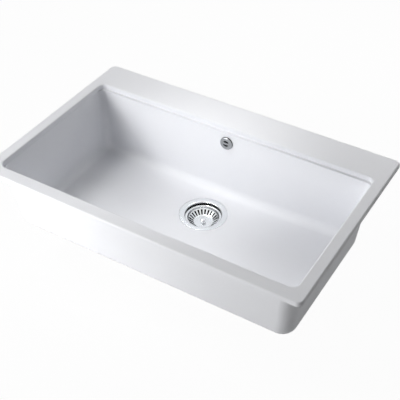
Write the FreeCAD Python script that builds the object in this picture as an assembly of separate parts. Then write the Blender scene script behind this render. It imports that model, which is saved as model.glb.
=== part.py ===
import FreeCAD, Part
import math
import os

# Single-bowl inset kitchen sink in moulded stone composite, with a tap deck behind the bowl,
# a basket strainer waste and an overflow.
# Millimetres. The origin is the middle of the flange on the worktop plane, +Z is up,
# -Y is the front. The flange stands above z = 0 and everything else hangs below it.

os.makedirs("parts", exist_ok=True)

V = FreeCAD.Vector
UP = V(0, 0, 1)

# ---- flange ----
FLANGE_WIDTH = 780.0
FLANGE_DEPTH = 500.0
FLANGE_HEIGHT = 10.0
FLANGE_CORNER_R = 14.0
FLANGE_EDGE_R = 4.5

# ---- bowl, inside ----
MOUTH_WIDTH = 724.0
FRONT_RIM = 32.0
DECK = 86.0
LEDGE_DROP = 12.5
LEDGE = 7.5
MOUTH_EDGE_R = 3.5
BOWL_DEPTH = 180.0
SIDE_LEAN = 17.0
FRONT_LEAN = 22.0
BACK_LEAN = 14.0
MOUTH_CORNER_R = 16.0
BOWL_CORNER_R = 24.0
BOWL_FLOOR_R = 21.0
FLOOR_FALL = 0.015

# ---- bowl, outside ----
SIDE_WALL = 5.0
FRONT_WALL = 8.0
BACK_WALL = 3.0
FLOOR_WALL = 7.5
OUTER_SIDE_LEAN = 17.0
OUTER_FRONT_LEAN = 29.0
OUTER_BACK_LEAN = 17.0
OUTER_CORNER_R = 34.0
OUTER_FLOOR_R = 31.0
ROOT_R = 7.0

# ---- worktop and what seats on it ----
CUTOUT_MARGIN = 10.0
SEAL_INSET = 3.0
SEAL_WIDTH = 5.0
SEAL_HEIGHT = 2.0
BOSS_HEIGHT = 15.0
BOSS_HALF = 6.5
BOSS_CORNER_R = 2.0
ANCHOR_R = 3.5
ANCHOR_LENGTH = 12.0
ANCHOR_BORE_R = 1.4
ANCHOR_PITCH = 260.0
ANCHOR_Y = 231.0
ANCHOR_X = 372.0

# ---- deck, underneath ----
TAP_R = 17.5
TAP_WEB = 3.0
TAP_PITCH = 160.0
TAP_Y = 214.0
RIB_X = (-300.0, -230.0, -80.0, 80.0, 230.0, 300.0)
RIB_WIDTH = 6.0
RIB_DROP = 28.0

# ---- waste ----
DRAIN = V(0, 48.5, 0)
SHEET = 1.0
DRAIN_FLANGE_R = 57.5
RIM_EDGE_RISE = 0.3
RIM_LIP = 3.0
RIM_LIP_RISE = -0.6
CUP_R = 43.4
CUP_MOUTH_R = 3.0
CUP_STEP = 9.0
CUP_STEP_WIDTH = 2.0
CUP_DEPTH = 42.0
CUP_OPENING_R = 21.0
CUP_HUB_R = 9.0
CUP_ARM_WIDTH = 5.0
CUP_ARMS = 4
SEAT_DROP = 2.6
SEAT_CLEARANCE = 0.7
DRAIN_HOLE_R = 45.0
GASKET_HEIGHT = 1.2
UNDER_BOSS_HEIGHT = 4.0
UNDER_BOSS_R = 62.0
LOWER_GASKET_HEIGHT = 3.0
HOUSING_R = 57.0
HOUSING_BORE_R = 46.0
HOUSING_WALL = 3.2
HOUSING_FLANGE = 4.0
HOUSING_DEPTH = 32.0
OUTLET_R = 23.9
OUTLET_BORE_R = 19.5
OUTLET_LENGTH = 28.0
FUNNEL = 22.0
SPIDER_HUB_R = 8.0
SPIDER_HUB_HEIGHT = 15.0
SPIDER_VANES = 3
SPIDER_VANE_WIDTH = 3.0
INSERT_R = 4.6
INSERT_HEIGHT = 10.0
SCREW_R = 3.0
SCREW_HEAD_R = 6.5
SCREW_HEAD = 2.4
SOCKET_ACROSS_FLATS = 5.0

# ---- strainer basket and stopper ----
BASKET_SHEET = 0.8
BASKET_DEPTH = 25.0
BASKET_RIM = 2.9
SLOT_COUNT = 24
SLOT_INNER_R = 22.5
SLOT_OUTER_R = 36.0
SLOT_WIDTH = 3.4
SLOT_RISE = 8.5
STEM_R = 4.0
STEM_FIT = 0.05
STEM_COLLAR_R = 6.0
STEM_DISC_R = 13.0
STEM_DISC = 2.0
SPIGOT_R = 5.0
THREAD_R = 3.0
BODY_GAP = 0.3
SEAL_R = 27.0
STOPPER_SEAL = 6.8
SEAL_SKIRT = 3.6
SEAL_RECESS = 4.6
SEAL_LIP = 0.8
SPIGOT_END = 3.2
SNAP_RING_R = 8.0
SNAP_RING = 0.9
KNOB_R = 6.2
KNOB_NECK_R = 4.2
KNOB_HEIGHT = 9.5

# ---- overflow ----
OVERFLOW_DROP = 38.7
OVERFLOW_HOLE_R = 10.0
OVERFLOW_WALL = 12.0
CAP_R = 16.0
CAP_RISE = 4.6
CAP_SHEET = 0.8
CAP_SLOT_R = 7.6
CAP_BAR = 4.8
SPIGOT_FLANGE_R = 14.6
SPIGOT_FLANGE = 1.6
SPIGOT_TUBE_R = 9.4
SPIGOT_BORE_R = 7.9
SPIGOT_LENGTH = 24.0
WALL_GASKET_R = 17.0
WALL_GASKET = 2.5
ELBOW_R = 12.0
ELBOW_BORE_R = 9.6
ELBOW_FLANGE = 3.0
ELBOW_LEG = 26.0
HOSE_Y = 181.0
HOSE_R = 10.6
HOSE_ROOT_R = 8.8
HOSE_CUFF_R = 9.3
HOSE_BORE_R = 7.6
HOSE_CUFF = 16.0
HOSE_BEND_R = 46.0
RIB_PITCH = 7.0
INLET_Z = -201.0
INLET_REACH = 68.0
CUFF_INSERT = 9.0
CONE_SEAL = 3.0
NUT_R = 14.5
NUT_LENGTH = 13.0
NUT_LIP = 2.6
NUT_GRIPS = 10
NUT_GRIP_R = 1.2
FIT = 0.1

# ---- heights and places worked out from the sizes above ----
RIM_TOP = FLANGE_HEIGHT
LEDGE_Z = RIM_TOP - LEDGE_DROP
FLOOR_Z = RIM_TOP - BOWL_DEPTH
UNDERSIDE_Z = FLOOR_Z - FLOOR_WALL
HALF_WIDTH = FLANGE_WIDTH / 2
HALF_DEPTH = FLANGE_DEPTH / 2
HALF_MOUTH = MOUTH_WIDTH / 2
MOUTH_FRONT = FRONT_RIM - HALF_DEPTH
MOUTH_BACK = HALF_DEPTH - DECK
WALL_HEIGHT = LEDGE_Z - FLOOR_Z
OUTER_HALF = HALF_MOUTH + SIDE_WALL
OUTER_FRONT = MOUTH_FRONT - FRONT_WALL
OUTER_BACK = MOUTH_BACK + BACK_WALL
SEAT_Z = FLOOR_Z - SEAT_DROP
BOSS_FACE_Z = UNDERSIDE_Z - UNDER_BOSS_HEIGHT
HOUSING_TOP_Z = BOSS_FACE_Z - LOWER_GASKET_HEIGHT
CUP_FLOOR_Z = FLOOR_Z - CUP_DEPTH
BASKET_FLOOR_Z = FLOOR_Z - BASKET_DEPTH
SEAL_FOOT_Z = CUP_FLOOR_Z + BODY_GAP
SEAL_TOP_Z = SEAL_FOOT_Z + STOPPER_SEAL
BACK_LEAN_ANGLE = math.degrees(math.atan(BACK_LEAN / WALL_HEIGHT))
OVERFLOW_Z = RIM_TOP - OVERFLOW_DROP
OVERFLOW_Y = MOUTH_BACK - LEDGE - (LEDGE_Z - OVERFLOW_Z) * BACK_LEAN / WALL_HEIGHT


# ---- helpers ----

def rounded_rectangle(x0, x1, y0, y1, radius, z):
    """Closed wire of four sides and four corner arcs at height z."""
    box = Part.makePolygon([V(x0, y0, z), V(x1, y0, z), V(x1, y1, z), V(x0, y1, z), V(x0, y0, z)])
    diagonal = radius * math.sqrt(0.5)
    edges = []
    corners = [(x1, y0, -1, 1), (x1, y1, -1, -1), (x0, y1, 1, -1), (x0, y0, 1, 1)]
    for (x, y, sx, sy), side in zip(corners, box.Edges):
        centre = V(x + sx * radius, y + sy * radius, z)
        along = (side.Vertexes[1].Point - side.Vertexes[0].Point).normalize()
        across = V(-along.y, along.x, 0)
        corner = V(x, y, z)
        arc_start = corner - along * radius
        arc_end = corner + across * radius
        arc_middle = centre - V(sx, sy, 0) * diagonal
        start = side.Vertexes[0].Point + along * radius
        edges.append(Part.makeLine(start, arc_start))
        edges.append(Part.Arc(arc_start, arc_middle, arc_end).toShape())
    return Part.Wire(edges)


def slab(x0, x1, y0, y1, radius, z0, z1):
    """Plate with rounded corners between two heights."""
    return Part.Face(rounded_rectangle(x0, x1, y0, y1, radius, z0)).extrude(V(0, 0, z1 - z0))


def edges_at(shape, z):
    """Edges that lie wholly at height z."""
    return [e for e in shape.Edges if abs(e.BoundBox.ZMin - z) < 0.01 and abs(e.BoundBox.ZMax - z) < 0.01]


def edge_between(shape, start, end):
    """The edge whose middle is nearest to the middle of two points."""
    middle = (start + end) * 0.5
    return min(shape.Edges, key=lambda edge: edge.CenterOfMass.distanceToPoint(middle))


def corners_at(x0, x1, y0, y1, z):
    """Four corners of a rectangle, anticlockwise from above."""
    return [V(x0, y0, z), V(x1, y0, z), V(x1, y1, z), V(x0, y1, z)]


def flat_sided(top, bottom):
    """Solid with flat faces between two four-cornered outlines, both anticlockwise from above."""
    loops = [top, bottom[::-1]]
    for k in range(4):
        n = (k + 1) % 4
        loops.append([top[n], top[k], bottom[k], bottom[n]])
    faces = [Part.Face(Part.makePolygon(loop + loop[:1])) for loop in loops]
    return Part.makeSolid(Part.makeShell(faces))


def block(x0, x1, y0, y1, z0, z1):
    return Part.makeBox(x1 - x0, y1 - y0, z1 - z0, V(x0, y0, z0))


def disc(radius, z0, z1, centre=V()):
    return Part.makeCylinder(radius, z1 - z0, V(centre.x, centre.y, z0))


def ring(outer_r, inner_r, z0, z1, centre=V()):
    return disc(outer_r, z0, z1, centre).cut(disc(inner_r, z0, z1, centre))


def turned(points):
    """Solid turned about the Z axis from a closed outline of (radius, height) pairs."""
    outline = [V(r, 0, z) for r, z in points]
    return Part.Face(Part.makePolygon(outline + outline[:1])).revolve(V(), UP, 360)


def bent_path(points, radii):
    """Straight runs with one bend radius for each inner point, where 0 is a sharp bend."""
    edges = []
    start = points[0]
    for corner, following, radius in zip(points[1:-1], points[2:], radii):
        back = (start - corner).normalize()
        ahead = (following - corner).normalize()
        half_angle = back.getAngle(ahead) / 2
        bisector = (back + ahead).normalize()
        reach = radius / math.tan(half_angle)
        inset = radius / math.sin(half_angle) - radius
        arc_start = corner + back * reach
        arc_end = corner + ahead * reach
        edges.append(Part.makeLine(start, arc_start))
        if radius:
            edges.append(Part.Arc(arc_start, corner + bisector * inset, arc_end).toShape())
        start = arc_end
    edges.append(Part.makeLine(start, points[-1]))
    return Part.Wire(edges)


def pressed_sheet(points, radii, gauge):
    """Sheet turned about the Z axis: a bent line of (radius, height) pairs and its thickness."""
    line = bent_path([V(r, 0, z) for r, z in points], radii)
    return line.makeOffset2D(gauge, 2, True, True).revolve(V(), UP, 360)


def around_drain(shape):
    shape.translate(DRAIN)
    return shape


def on_back_wall(shape):
    """Local +Z becomes the direction out of the leaning back wall, into the bowl."""
    shape.rotate(V(), V(1, 0, 0), 90 - BACK_LEAN_ANGLE)
    shape.translate(V(0, OVERFLOW_Y, OVERFLOW_Z))
    return shape


# ---- the moulded sink ----

def floor_height(x, y):
    """The floor falls to the drain from both sides, from the front and from the back."""
    return FLOOR_Z + FLOOR_FALL * (abs(x) + abs(y - DRAIN.y))


def foot_of(x, x_lean, y, y_lean):
    """Where an upright corner of the tub, leaning in on its way down, meets the floor."""
    z = FLOOR_Z
    for step in range(12):
        depth = (LEDGE_Z - z) / WALL_HEIGHT
        foot = V(x - x_lean * depth, y + y_lean * depth, 0)
        z = floor_height(foot.x, foot.y)
    return V(foot.x, foot.y, z)


def tub_quarter(wall_y, wall_lean):
    """Right half of the tub, from the drain's middle line to the front wall or to the back wall."""
    middle = (0, 0, DRAIN.y, 0)
    side = (HALF_MOUTH, SIDE_LEAN, DRAIN.y, 0)
    corner = (HALF_MOUTH, SIDE_LEAN, wall_y, wall_lean)
    wall = (0, 0, wall_y, wall_lean)
    uprights = [middle, side, corner, wall]
    if wall_y < DRAIN.y:
        uprights.reverse()
    top = [V(x, y, LEDGE_Z) for x, x_lean, y, y_lean in uprights]
    tub = flat_sided(top, [foot_of(*upright) for upright in uprights])
    corner_foot = foot_of(*corner)
    tub = tub.makeFillet(BOWL_CORNER_R, [edge_between(tub, V(HALF_MOUTH, wall_y, LEDGE_Z), corner_foot)])
    return tub.makeFillet(BOWL_FLOOR_R, [edge_between(tub, foot_of(*side), corner_foot)])


def bowl_cavity():
    """Room inside the bowl: a shallow pocket over a leaning tub whose floor falls to the drain."""
    pocket = slab(-HALF_MOUTH, HALF_MOUTH, MOUTH_FRONT, MOUTH_BACK, MOUTH_CORNER_R, LEDGE_Z, RIM_TOP + 5)
    front = tub_quarter(MOUTH_FRONT + LEDGE, FRONT_LEAN)
    back = tub_quarter(MOUTH_BACK - LEDGE, -BACK_LEAN)
    right = front.fuse(back)
    tub = right.fuse(right.mirror(V(), V(1, 0, 0))).removeSplitter()
    return pocket.fuse(tub)


def outer_shell():
    """Outside of the bowl under the flange."""
    side = OUTER_HALF - OUTER_SIDE_LEAN
    top = corners_at(-OUTER_HALF, OUTER_HALF, OUTER_FRONT, OUTER_BACK, 1)
    foot = corners_at(-side, side, OUTER_FRONT + OUTER_FRONT_LEAN, OUTER_BACK - OUTER_BACK_LEAN, UNDERSIDE_Z)
    shell = flat_sided(top, foot)
    shell = shell.makeFillet(OUTER_CORNER_R, [edge_between(shell, a, b) for a, b in zip(top, foot)])
    return shell.makeFillet(OUTER_FLOOR_R, edges_at(shell, UNDERSIDE_Z))


def deck_ribs():
    """Moulded webs that carry the tap deck from the back wall of the bowl."""
    back = HALF_DEPTH - CUTOUT_MARGIN - 4
    profile = [V(0, OUTER_BACK - 12, 1), V(0, back, 1), V(0, back, -3), V(0, OUTER_BACK - 4, -RIB_DROP),
               V(0, OUTER_BACK - 12, -RIB_DROP)]
    web = Part.Face(Part.makePolygon(profile + profile[:1])).extrude(V(RIB_WIDTH, 0, 0))
    ribs = []
    for x in RIB_X:
        rib = web.copy()
        rib.translate(V(x - RIB_WIDTH / 2, 0, 0))
        ribs.append(rib)
    return ribs


def anchor_places():
    """Centres of the clip anchors: three in front, three behind, one at each side."""
    rows = [V(x, side * ANCHOR_Y, 0) for side in (-1, 1) for x in (-ANCHOR_PITCH, 0, ANCHOR_PITCH)]
    return rows + [V(-ANCHOR_X, 0, 0), V(ANCHOR_X, 0, 0)]


def anchor_boss(place):
    """Thick pad under the flange for one clip anchor."""
    return slab(place.x - BOSS_HALF, place.x + BOSS_HALF, place.y - BOSS_HALF, place.y + BOSS_HALF,
                BOSS_CORNER_R, -BOSS_HEIGHT, 1)


def seal_groove():
    """Ring under the flange edge that takes the sealing strip."""
    out = SEAL_INSET
    inside = out + SEAL_WIDTH
    outer = slab(out - HALF_WIDTH, HALF_WIDTH - out, out - HALF_DEPTH, HALF_DEPTH - out,
                 FLANGE_CORNER_R - out, 0, SEAL_HEIGHT)
    return outer.cut(slab(inside - HALF_WIDTH, HALF_WIDTH - inside, inside - HALF_DEPTH,
                          HALF_DEPTH - inside, FLANGE_CORNER_R - inside, 0, SEAL_HEIGHT))


def overflow_hole():
    return on_back_wall(disc(OVERFLOW_HOLE_R, -40, 20))


def overflow_pad():
    """Flat boss square to the overflow hole on the outside of the back wall."""
    return on_back_wall(disc(WALL_GASKET_R + 2, -OVERFLOW_WALL, -4))


def within_mouth(edges):
    """Those edges that lie no further out than the bowl's mouth."""
    limit = HALF_MOUTH + 1
    return [e for e in edges if -limit < e.BoundBox.XMin and e.BoundBox.XMax < limit]


def sink_body():
    flange = slab(-HALF_WIDTH, HALF_WIDTH, -HALF_DEPTH, HALF_DEPTH, FLANGE_CORNER_R, 0, RIM_TOP)
    flange = flange.makeFillet(FLANGE_EDGE_R, edges_at(flange, RIM_TOP))
    body = flange.fuse(outer_shell())
    root = [e for e in edges_at(body, 0) if abs(e.BoundBox.XMax) < OUTER_HALF + 1
            and abs(e.BoundBox.XMin) < OUTER_HALF + 1]
    body = body.makeFillet(ROOT_R, root)
    pads = [anchor_boss(place) for place in anchor_places()]
    pads.append(disc(UNDER_BOSS_R, BOSS_FACE_Z, UNDERSIDE_Z + 1, DRAIN))
    pads.append(overflow_pad())
    body = body.fuse(pads + deck_ribs())
    holes = [bowl_cavity(), seal_groove(), overflow_hole(),
             disc(DRAIN_HOLE_R, BOSS_FACE_Z - 1, FLOOR_Z + 5, DRAIN),
             disc(DRAIN_FLANGE_R + SEAT_CLEARANCE, SEAT_Z, FLOOR_Z + 5, DRAIN)]
    for place in anchor_places():
        holes.append(disc(ANCHOR_R, -BOSS_HEIGHT, ANCHOR_LENGTH - BOSS_HEIGHT, place))
    for x in (-TAP_PITCH, 0, TAP_PITCH):
        holes.append(disc(TAP_R, -1, RIM_TOP - TAP_WEB, V(x, TAP_Y, 0)))
    body = body.cut(holes)
    return body.makeFillet(MOUTH_EDGE_R, within_mouth(edges_at(body, RIM_TOP)))


def clip_anchors():
    """Eight plastic plugs with a pilot bore for the clip screws."""
    plugs = [ring(ANCHOR_R, ANCHOR_BORE_R, -BOSS_HEIGHT, ANCHOR_LENGTH - BOSS_HEIGHT, place)
             for place in anchor_places()]
    return Part.makeCompound(plugs)


# ---- waste ----

def waste_flange():
    """Pressed steel cup: a rim ring in the floor, a step for the basket and a spoked bottom."""
    lower_r = CUP_R - CUP_STEP_WIDTH
    line = [(DRAIN_FLANGE_R, GASKET_HEIGHT - SEAT_DROP), (DRAIN_FLANGE_R, RIM_EDGE_RISE),
            (CUP_R + RIM_LIP, RIM_LIP_RISE), (CUP_R, RIM_LIP_RISE - 1), (CUP_R, -CUP_STEP),
            (lower_r, -CUP_STEP), (lower_r - 0.6, -CUP_DEPTH), (CUP_OPENING_R, -CUP_DEPTH)]
    cup = pressed_sheet(line, [0, 0, CUP_MOUTH_R, 0, 0, 0], SHEET)
    hub = disc(CUP_HUB_R, -CUP_DEPTH - SHEET, -CUP_DEPTH)
    cup = cup.fuse(hub)
    for k in range(CUP_ARMS):
        arm = block(CUP_HUB_R - 2, CUP_OPENING_R + 2, -CUP_ARM_WIDTH / 2, CUP_ARM_WIDTH / 2,
                    -CUP_DEPTH - SHEET, -CUP_DEPTH)
        arm.rotate(V(), UP, k * 360 / CUP_ARMS)
        cup = cup.fuse(arm)
    cup = cup.cut(disc(SCREW_R + FIT, -CUP_DEPTH - 5, -CUP_DEPTH + 5)).removeSplitter()
    cup.translate(DRAIN + V(0, 0, FLOOR_Z))
    return cup


def hex_socket(across_flats, z0, z1):
    """Six-sided prism on the Z axis."""
    corner = across_flats / math.sqrt(3)
    points = [V(corner * math.cos(math.radians(60 * k)), corner * math.sin(math.radians(60 * k)), z0)
              for k in range(6)]
    return Part.Face(Part.makePolygon(points + points[:1])).extrude(V(0, 0, z1 - z0))


def waste_top_gasket():
    """Rubber ring between the dished steel rim and the seat moulded in the floor."""
    slope = (RIM_EDGE_RISE - RIM_LIP_RISE) / (DRAIN_FLANGE_R - CUP_R - RIM_LIP)
    outer = DRAIN_FLANGE_R - SHEET - 1
    inner = DRAIN_HOLE_R + 3
    under = RIM_EDGE_RISE - SHEET * math.hypot(1, slope)
    section = [(inner, -SEAT_DROP), (outer, -SEAT_DROP), (outer, under - (DRAIN_FLANGE_R - outer) * slope),
               (inner, under - (DRAIN_FLANGE_R - inner) * slope)]
    gasket = turned(section)
    gasket.translate(DRAIN + V(0, 0, FLOOR_Z))
    return gasket


def waste_lower_gasket():
    return ring(HOUSING_R - 1, HOUSING_BORE_R + 1, BOSS_FACE_Z - LOWER_GASKET_HEIGHT, BOSS_FACE_Z, DRAIN)


def overflow_inlet(radius):
    """Stub on the back of the housing, where the overflow hose comes in."""
    return Part.makeCylinder(radius, INLET_REACH, V(0, 0, INLET_Z), V(0, 1, 0))


def housing_space():
    """Room inside the housing, from the gasket face to the outlet."""
    base = HOUSING_TOP_Z - HOUSING_DEPTH
    neck = base - FUNNEL
    return turned([(0, HOUSING_TOP_Z), (HOUSING_BORE_R, HOUSING_TOP_Z), (HOUSING_BORE_R - 1, base),
                   (OUTLET_BORE_R, neck), (OUTLET_BORE_R, neck - OUTLET_LENGTH), (0, neck - OUTLET_LENGTH)])


def waste_housing():
    """Moulded plastic funnel under the floor, with the hose inlet and the threaded outlet."""
    base = HOUSING_TOP_Z - HOUSING_DEPTH
    neck = base - FUNNEL
    flange = HOUSING_TOP_Z - HOUSING_FLANGE
    wall = HOUSING_BORE_R + HOUSING_WALL
    shell = turned([(0, HOUSING_TOP_Z), (HOUSING_R, HOUSING_TOP_Z), (HOUSING_R, flange), (wall, flange - 1.5),
                    (wall - 1, base - 1.5), (OUTLET_R + 1.5, neck - 1), (OUTLET_R + 1.5, neck - 5),
                    (OUTLET_R, neck - 5), (OUTLET_R, neck - OUTLET_LENGTH), (0, neck - OUTLET_LENGTH)])
    shell = shell.fuse(overflow_inlet(ELBOW_R)).cut([housing_space(), overflow_inlet(ELBOW_BORE_R)])
    hub_top = CUP_FLOOR_Z - SHEET
    hub = disc(SPIDER_HUB_R, hub_top - SPIDER_HUB_HEIGHT, hub_top)
    pieces = [hub]
    for k in range(SPIDER_VANES):
        vane = block(SPIDER_HUB_R - 2, HOUSING_BORE_R + 1, -SPIDER_VANE_WIDTH / 2, SPIDER_VANE_WIDTH / 2,
                     hub_top - SPIDER_HUB_HEIGHT, hub_top - 4)
        vane.rotate(V(), UP, 30 + k * 360 / SPIDER_VANES)
        pieces.append(vane)
    envelope = turned([(0, HOUSING_TOP_Z), (wall - 1, HOUSING_TOP_Z), (wall - 1.5, base - 1.5),
                       (OUTLET_R, neck), (0, neck)])
    spider = pieces[0].fuse(pieces[1:]).common(envelope)
    spider = spider.cut(disc(INSERT_R, hub_top - INSERT_HEIGHT, hub_top))
    spider = spider.cut(disc(SCREW_R + FIT, hub_top - SPIDER_HUB_HEIGHT - 1, hub_top))
    return around_drain(shell.fuse(spider).removeSplitter())


def waste_insert():
    """Brass thread in the middle of the housing."""
    top = CUP_FLOOR_Z - SHEET
    return ring(INSERT_R, SCREW_R, top - INSERT_HEIGHT, top, DRAIN)


def waste_screw():
    """Low-head screw that pulls cup and housing together through the floor of the bowl."""
    head = disc(SCREW_HEAD_R, CUP_FLOOR_Z, CUP_FLOOR_Z + SCREW_HEAD)
    head = head.makeChamfer(0.8, edges_at(head, CUP_FLOOR_Z + SCREW_HEAD))
    shank = disc(SCREW_R, CUP_FLOOR_Z - SHEET - INSERT_HEIGHT - 3, CUP_FLOOR_Z)
    socket = hex_socket(SOCKET_ACROSS_FLATS, CUP_FLOOR_Z + SCREW_HEAD - 1.8, CUP_FLOOR_Z + SCREW_HEAD + 1)
    return around_drain(head.fuse(shank).cut(socket))


# ---- strainer basket and stopper ----

def strainer_basket():
    """Pressed steel dish with radial slots: its rim rests on the step of the cup."""
    rim_r = CUP_R - BODY_GAP
    rim_z = BODY_GAP + BASKET_SHEET - CUP_STEP
    wall_r = CUP_R - CUP_STEP_WIDTH - BASKET_RIM
    slot_top = SLOT_RISE - BASKET_DEPTH
    line = [(rim_r, rim_z), (wall_r, rim_z), (SLOT_OUTER_R, slot_top + 1.5), (SLOT_INNER_R, -BASKET_DEPTH),
            (STEM_R + STEM_FIT, -BASKET_DEPTH)]
    dish = pressed_sheet(line, [0, 0, 0], BASKET_SHEET)
    slots = []
    for k in range(SLOT_COUNT):
        slot = block(SLOT_INNER_R, SLOT_OUTER_R, -SLOT_WIDTH / 2, SLOT_WIDTH / 2,
                     -BASKET_DEPTH - 5, slot_top + 6)
        slot.rotate(V(), UP, (k + 0.5) * 360 / SLOT_COUNT)
        slots.append(slot)
    dish = dish.cut(slots)
    dish.translate(DRAIN + V(0, 0, FLOOR_Z))
    return dish


def basket_stem():
    """Turned steel post: spigot for the seal, disc over it, collar and journal for the basket."""
    under = BASKET_FLOOR_Z - BASKET_SHEET - BODY_GAP
    top = SEAL_TOP_Z
    end = SEAL_FOOT_Z + SPIGOT_END
    return around_drain(turned([
        (0, end), (SPIGOT_R, end), (SPIGOT_R, top), (STEM_DISC_R, top),
        (STEM_DISC_R, top + STEM_DISC), (STEM_COLLAR_R, top + STEM_DISC + 1.5), (STEM_COLLAR_R, under),
        (STEM_R, under), (STEM_R, BASKET_FLOOR_Z + BODY_GAP), (THREAD_R, BASKET_FLOOR_Z + BODY_GAP),
        (THREAD_R, BASKET_FLOOR_Z + 5), (0, BASKET_FLOOR_Z + 5)]))


def stopper_seal():
    """Rubber disc with a thin sealing lip that closes the bottom of the cup."""
    foot = SEAL_FOOT_Z
    recess = foot + SEAL_RECESS
    recess_r = SNAP_RING_R + 2
    return around_drain(turned([
        (SPIGOT_R, recess), (recess_r, recess), (recess_r, foot), (SEAL_R, foot),
        (SEAL_R + SEAL_LIP, foot + SEAL_LIP), (SEAL_R - 1, foot + SEAL_SKIRT),
        (STEM_DISC_R + 3, SEAL_TOP_Z), (SPIGOT_R, SEAL_TOP_Z)]))


def snap_ring():
    """Spring ring that holds the seal on the spigot."""
    top = SEAL_FOOT_Z + SEAL_RECESS
    return ring(SNAP_RING_R, SPIGOT_R, top - SNAP_RING, top, DRAIN)


def basket_knob():
    """Polished lifting knob screwed on the stem."""
    foot = BASKET_FLOOR_Z + BODY_GAP
    knob = turned([(0, foot), (KNOB_NECK_R, foot), (KNOB_NECK_R, foot + 3), (KNOB_R, foot + 5),
                   (KNOB_R, foot + KNOB_HEIGHT), (0, foot + KNOB_HEIGHT)])
    knob = knob.makeFillet(2.4, edges_at(knob, foot + KNOB_HEIGHT))
    return around_drain(knob.cut(disc(THREAD_R, foot - 1, BASKET_FLOOR_Z + 5)))


# ---- overflow ----

def overflow_cap():
    """Pressed steel cover with two slots either side of a bar."""
    line = [(CAP_R, 0.2), (CAP_R, CAP_RISE), (0, CAP_RISE)]
    cover = pressed_sheet(line, [2.6], CAP_SHEET)
    slots = disc(CAP_SLOT_R, 1, CAP_RISE + 5)
    bar = block(-CAP_R, CAP_R, -CAP_BAR / 2, CAP_BAR / 2, 0, CAP_RISE + 6)
    return on_back_wall(cover.cut(slots.cut(bar)))


def overflow_spigot():
    """Plastic flanged tube through the back wall, under the cap."""
    tube = ring(SPIGOT_TUBE_R, SPIGOT_BORE_R, -SPIGOT_LENGTH, SPIGOT_FLANGE)
    return on_back_wall(tube.fuse(ring(SPIGOT_FLANGE_R, SPIGOT_BORE_R, 0, SPIGOT_FLANGE)).removeSplitter())


def overflow_gasket():
    outside = -OVERFLOW_WALL
    return on_back_wall(ring(WALL_GASKET_R, SPIGOT_TUBE_R + FIT, outside - WALL_GASKET, outside))


def mitred_bend(radius, outside, knee):
    """Round run square to the wall and round leg straight down, cut to each other at the knee."""
    reach = HOSE_Y - OVERFLOW_Y
    run = on_back_wall(disc(radius, -reach - 2 * radius, outside))
    leg = Part.makeCylinder(radius, ELBOW_LEG + 2 * radius, knee + V(0, 0, 2 * radius), V(0, 0, -1))
    corner = run.common(leg)
    straight_run = on_back_wall(disc(radius, -reach, outside))
    straight_leg = Part.makeCylinder(radius, ELBOW_LEG, knee, V(0, 0, -1))
    return straight_run.fuse([straight_leg, corner])


def overflow_elbow():
    """Plastic elbow on the outside: flange on the gasket, knee, and a leg down to the hose."""
    outside = -OVERFLOW_WALL - WALL_GASKET
    knee = V(0, HOSE_Y, OVERFLOW_Z)
    flange = on_back_wall(disc(WALL_GASKET_R, outside - ELBOW_FLANGE, outside))
    body = flange.fuse(mitred_bend(ELBOW_R, outside, knee))
    return body.cut(mitred_bend(ELBOW_BORE_R, outside + 1, knee)).removeSplitter()


def hose_path():
    """Middle line of the hose: down behind the bowl, round under it and into the housing."""
    top = V(0, HOSE_Y, OVERFLOW_Z - ELBOW_LEG + CUFF_INSERT)
    corner = V(0, HOSE_Y, INLET_Z)
    end = V(0, DRAIN.y + INLET_REACH - CUFF_INSERT, INLET_Z)
    return bent_path([top, corner, end], [HOSE_BEND_R])


def path_stations(path, start, end, count):
    """Evenly spaced points along a wire with the direction of travel at each."""
    lengths = [edge.Length for edge in path.Edges]
    stations = []
    for k in range(count + 1):
        s = start + (end - start) * k / count
        for edge, length in zip(path.Edges, lengths):
            if s <= length + 1e-6:
                parameter = edge.getParameterByLength(min(s, length))
                stations.append((edge.valueAt(parameter), edge.tangentAt(parameter)))
                break
            s -= length
    return stations


def circle_across(point, direction, radius):
    """Circle square to the hose, with its X axis kept along the object's X axis."""
    circle = Part.Circle(point, direction, radius)
    circle.XAxis = V(1, 0, 0)
    return circle.toShape()


def overflow_hose():
    """Corrugated hose with plain cuffs: a ruled loft through four circles for each rib."""
    path = hose_path()
    ribbed = path.Length - 2 * HOSE_CUFF
    ribs = round(ribbed / RIB_PITCH)
    steps = path_stations(path, HOSE_CUFF, path.Length - HOSE_CUFF, ribs * 4)
    radii = [HOSE_ROOT_R, HOSE_R, HOSE_R, HOSE_ROOT_R]
    circles = [Part.Wire(circle_across(p, t, radii[k % 4])) for k, (p, t) in enumerate(steps)]
    ends = path_stations(path, 0, path.Length, 1)
    (p0, t0), (p1, t1) = ends
    cuffs = [Part.makeCylinder(HOSE_CUFF_R, HOSE_CUFF, p0, t0),
             Part.makeCylinder(HOSE_CUFF_R, HOSE_CUFF, p1, t1 * -1)]
    body = Part.makeLoft(circles, True, True).fuse(cuffs)
    bore = Part.Wire(path.Edges).makePipeShell([Part.Wire(circle_across(p0, t0, HOSE_BORE_R))], True, True)
    print("overflow hose:", ribs, "ribs, length", round(path.Length, 1))
    return body.cut(bore)


def hose_nut():
    """Grip nut on the Z axis, mouth at the top, lip at the bottom."""
    nut = ring(NUT_R, ELBOW_R + FIT, NUT_LIP - NUT_LENGTH, 0)
    nut = nut.fuse(ring(NUT_R, HOSE_CUFF_R + FIT, -NUT_LENGTH, NUT_LIP - NUT_LENGTH))
    for k in range(NUT_GRIPS):
        grip = disc(NUT_GRIP_R, -NUT_LENGTH, 0, V(NUT_R, 0, 0))
        grip.rotate(V(), UP, k * 360 / NUT_GRIPS)
        nut = nut.cut(grip)
    return nut.removeSplitter()


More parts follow.
